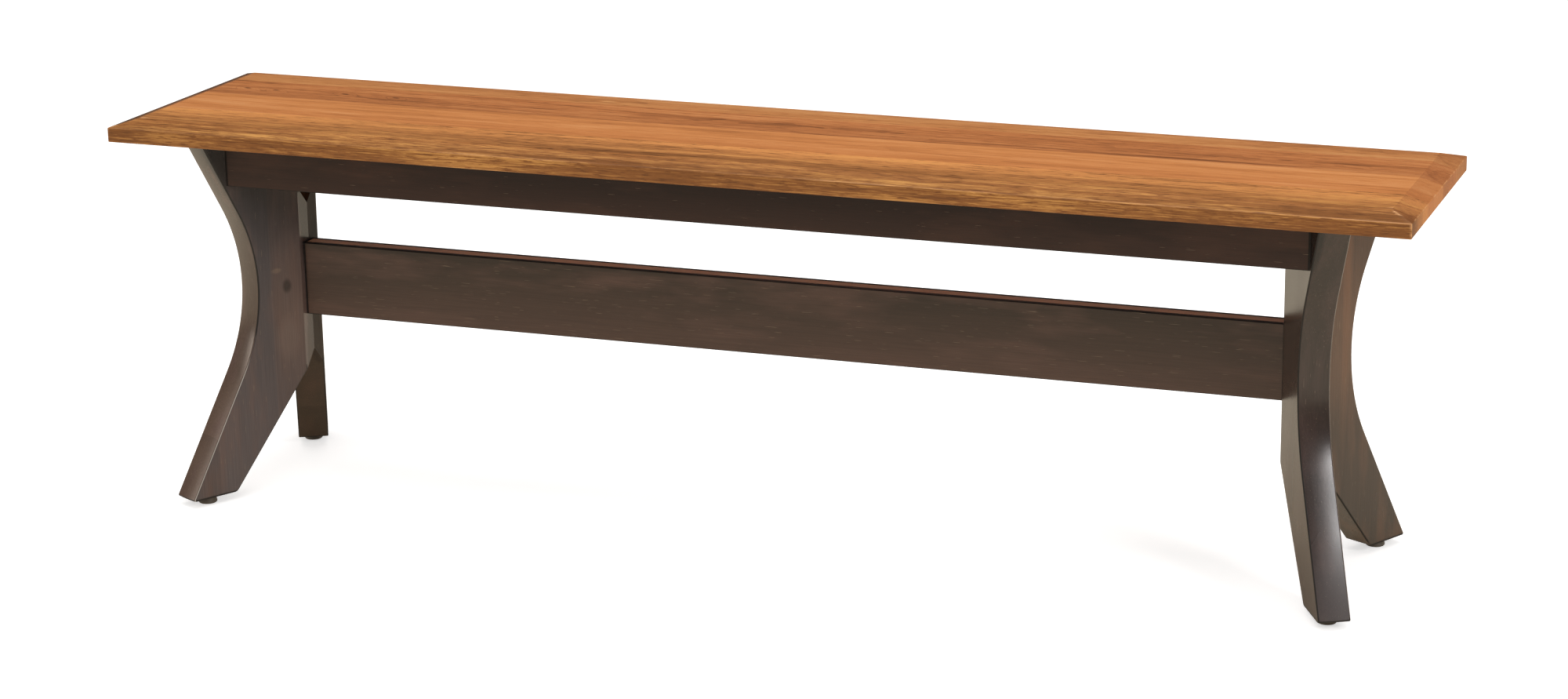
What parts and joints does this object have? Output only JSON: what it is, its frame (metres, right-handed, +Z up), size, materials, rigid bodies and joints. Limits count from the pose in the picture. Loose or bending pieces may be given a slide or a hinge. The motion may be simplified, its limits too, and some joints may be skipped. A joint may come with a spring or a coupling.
{
  "type": "dining bench",
  "caption": "Long dining bench: bevelled plank seat on chevron trestles of curved, splayed legs, tied by aprons and a broad stretcher, with screw-in levelling glides.",
  "frame": {"origin": "middle of the bench's footprint, on the floor", "axes": "+X along the bench, +Y to its back, +Z up"},
  "size_m": [1.524, 0.3394, 0.464],
  "materials": {
    "seat_front_wood": "satin lacquered brown hardwood",
    "seat_second_wood": "satin lacquered brown hardwood",
    "seat_third_wood": "satin lacquered brown hardwood",
    "seat_back_wood": "satin lacquered brown hardwood",
    "leg_wood": "dark stained hardwood under satin lacquer",
    "apron_wood": "dark stained hardwood under satin lacquer",
    "stretcher_wood": "dark stained hardwood under satin lacquer",
    "frame_wood": "stained hardwood, not lacquered",
    "dowel_wood": "plain beech, fluted",
    "zinc_steel": "bright zinc plate",
    "insert_metal": "turned brass",
    "pad_plastic": "moulded grey-beige nylon",
    "stem_steel": "bright zinc plate"
  },
  "bodies": {
    "bench": {"front_plank": "seat_front_wood", "second_plank": "seat_second_wood", "third_plank": "seat_third_wood", "back_plank": "seat_back_wood", "left_front_leg": "leg_wood", "left_back_leg": "leg_wood", "right_front_leg": "leg_wood", "right_back_leg": "leg_wood", "front_apron": "apron_wood", "back_apron": "apron_wood", "stretcher": "stretcher_wood", "left_rail": "frame_wood", "middle_rail": "frame_wood", "right_rail": "frame_wood", "left_front_block": "frame_wood", "left_back_block": "frame_wood", "right_front_block": "frame_wood", "right_back_block": "frame_wood", "left_mitre_dowels": "dowel_wood", "right_mitre_dowels": "dowel_wood", "apron_dowels": "dowel_wood", "rail_dowels": "dowel_wood", "stretcher_bolts": "zinc_steel", "bolt_washers": "zinc_steel", "barrel_nuts": "zinc_steel", "seat_screws": "zinc_steel", "block_screws": "zinc_steel", "glide_inserts": "insert_metal"},
    "left_front_pad": {"left_front_pad": "pad_plastic"},
    "left_back_pad": {"left_back_pad": "pad_plastic"},
    "right_front_pad": {"right_front_pad": "pad_plastic"},
    "right_back_pad": {"right_back_pad": "pad_plastic"},
    "left_front_stem": {"left_front_stem": "stem_steel"},
    "left_back_stem": {"left_back_stem": "stem_steel"},
    "right_front_stem": {"right_front_stem": "stem_steel"},
    "right_back_stem": {"right_back_stem": "stem_steel"}
  },
  "joints": [
    {"name": "left_front_height", "type": "slide", "parent": "bench", "child": "left_front_pad", "axis": [0, 0, -1], "range_m": [0, 0.01]},
    {"name": "left_front_turn", "type": "hinge", "parent": "left_front_pad", "child": "left_front_stem", "pos_m": [-0.67898, -0.13379, 0.0075], "axis": [0, 0, -1], "range_deg": [0, 2880]},
    {"name": "left_back_height", "type": "slide", "parent": "bench", "child": "left_back_pad", "axis": [0, 0, -1], "range_m": [0, 0.01]},
    {"name": "left_back_turn", "type": "hinge", "parent": "left_back_pad", "child": "left_back_stem", "pos_m": [-0.67898, 0.13379, 0.0075], "axis": [0, 0, -1], "range_deg": [0, 2880]},
    {"name": "right_front_height", "type": "slide", "parent": "bench", "child": "right_front_pad", "axis": [0, 0, -1], "range_m": [0, 0.01]},
    {"name": "right_front_turn", "type": "hinge", "parent": "right_front_pad", "child": "right_front_stem", "pos_m": [0.67898, -0.13379, 0.0075], "axis": [0, 0, -1], "range_deg": [0, 2880]},
    {"name": "right_back_height", "type": "slide", "parent": "bench", "child": "right_back_pad", "axis": [0, 0, -1], "range_m": [0, 0.01]},
    {"name": "right_back_turn", "type": "hinge", "parent": "right_back_pad", "child": "right_back_stem", "pos_m": [0.67898, 0.13379, 0.0075], "axis": [0, 0, -1], "range_deg": [0, 2880]}
  ],
  "couplings": [
    {"joint": "left_front_height", "follows": "left_front_turn", "m_per_rad": 0.00019894},
    {"joint": "left_back_height", "follows": "left_back_turn", "m_per_rad": 0.00019894},
    {"joint": "right_front_height", "follows": "right_front_turn", "m_per_rad": 0.00019894},
    {"joint": "right_back_height", "follows": "right_back_turn", "m_per_rad": 0.00019894}
  ]
}
